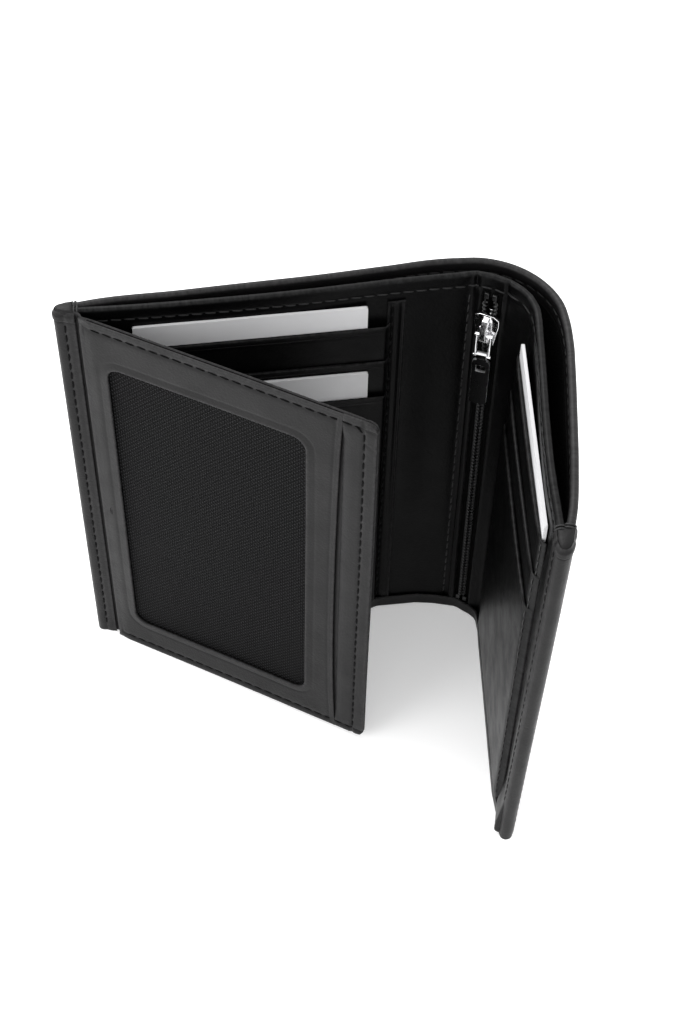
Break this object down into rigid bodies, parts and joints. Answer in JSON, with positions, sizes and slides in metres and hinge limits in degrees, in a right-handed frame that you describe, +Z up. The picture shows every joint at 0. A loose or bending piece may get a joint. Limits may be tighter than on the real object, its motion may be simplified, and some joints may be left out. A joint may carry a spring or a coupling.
{
  "type": "trifold wallet",
  "caption": "Leather trifold wallet standing half open: card pockets, a zipped coin pocket in the spine, a window flap and a full-length bill compartment.",
  "frame": {"origin": "centre of the foot print, on the surface the wallet stands on", "axes": "+Z up along the folds, +X along the back leaf from its sewn end to the spine, +Y out of the back of the wallet"},
  "size_m": [0.115, 0.0886, 0.12],
  "materials": {
    "shell_leather": "fine-grained black leather, semi-matte, turned and stitched edges",
    "inner_leather": "smooth black leather, soft sheen",
    "lining_cloth": "plain-weave black lining cloth",
    "window_mesh": "fine black mesh",
    "zip_tape": "black woven zip tape",
    "zip_teeth": "black nylon teeth",
    "zip_metal": "polished bright metal",
    "card_plastic": "blank pale card, smooth"
  },
  "bodies": {
    "back": {"shell_back": "shell_leather", "shell_lining_back": "lining_cloth", "hem_back": "shell_leather", "edge_binding_left": "shell_leather", "bill_divider_back": "lining_cloth", "coin_pouch": "lining_cloth", "liner_back": "inner_leather", "back_pocket_1": "inner_leather", "back_pocket_2": "inner_leather", "back_pocket_3": "inner_leather", "pocket_seam_strip": "inner_leather", "plain_panel": "inner_leather"},
    "spine": {"shell_spine": "shell_leather", "shell_lining_spine": "lining_cloth", "hem_spine": "shell_leather", "bill_divider_spine": "lining_cloth", "liner_spine": "inner_leather", "zip_tape_left": "zip_tape", "zip_tape_right": "zip_tape", "zip_teeth_left": "zip_teeth", "zip_teeth_right": "zip_teeth", "zip_stop_top": "zip_metal", "zip_stop_bottom": "zip_metal"},
    "cover": {"shell_front": "shell_leather", "shell_lining_front": "lining_cloth", "hem_front": "shell_leather", "bill_divider_front": "lining_cloth", "liner_front": "inner_leather", "front_pocket_1": "inner_leather", "front_pocket_2": "inner_leather", "front_pocket_3": "inner_leather", "edge_binding_right": "shell_leather"},
    "flap_strip": {"flap_hinge_strip": "shell_leather"},
    "flap": {"flap_back": "shell_leather", "flap_frame": "shell_leather", "flap_free_edge": "shell_leather", "window_mesh": "window_mesh"},
    "slider": {"zip_slider": "zip_metal"},
    "pull": {"pull_link": "zip_metal", "pull_tab": "zip_metal"},
    "card_1": {"card_1": "card_plastic"},
    "card_2": {"card_2": "card_plastic"},
    "card_3": {"card_3": "card_plastic"}
  },
  "joints": [
    {"name": "spine_fold", "type": "hinge", "parent": "back", "child": "spine", "pos_m": [0.03845, 0.04035, 0], "axis": [0, 0, 1], "range_deg": [-41, 49]},
    {"name": "cover_fold", "type": "hinge", "parent": "spine", "child": "cover", "pos_m": [0.05165, 0.02515, 0], "axis": [0, 0, 1], "range_deg": [-41, 49]},
    {"name": "flap_open", "type": "hinge", "parent": "back", "child": "flap_strip", "pos_m": [-0.05115, 0.03515, 0], "axis": [0, 0, -1], "range_deg": [0, 105]},
    {"name": "flap_close", "type": "hinge", "parent": "flap_strip", "child": "flap", "pos_m": [-0.04815, 0.03307, 0], "axis": [0, 0, 1], "range_deg": [-38, 32]},
    {"name": "zip_slide", "type": "slide", "parent": "spine", "child": "slider", "axis": [0.0019, -0.0332, -0.9994], "range_m": [0, 0.078]},
    {"name": "pull_swing", "type": "hinge", "parent": "slider", "child": "pull", "pos_m": [0.04138, 0.03324, 0.10482], "axis": [-0.891, 0.4537, -0.0168], "range_deg": [0, 165]},
    {"name": "card_1_slide", "type": "slide", "parent": "back", "child": "card_1", "axis": [0, 0, 1], "range_m": [0, 0.08]},
    {"name": "card_2_slide", "type": "slide", "parent": "back", "child": "card_2", "axis": [0, 0, 1], "range_m": [0, 0.08]},
    {"name": "card_3_slide", "type": "slide", "parent": "cover", "child": "card_3", "axis": [0, 0, 1], "range_m": [0, 0.08]}
  ],
  "couplings": [
    {"joint": "cover_fold", "follows": "spine_fold", "ratio": 1},
    {"joint": "flap_close", "follows": "spine_fold", "ratio": -0.77}
  ]
}
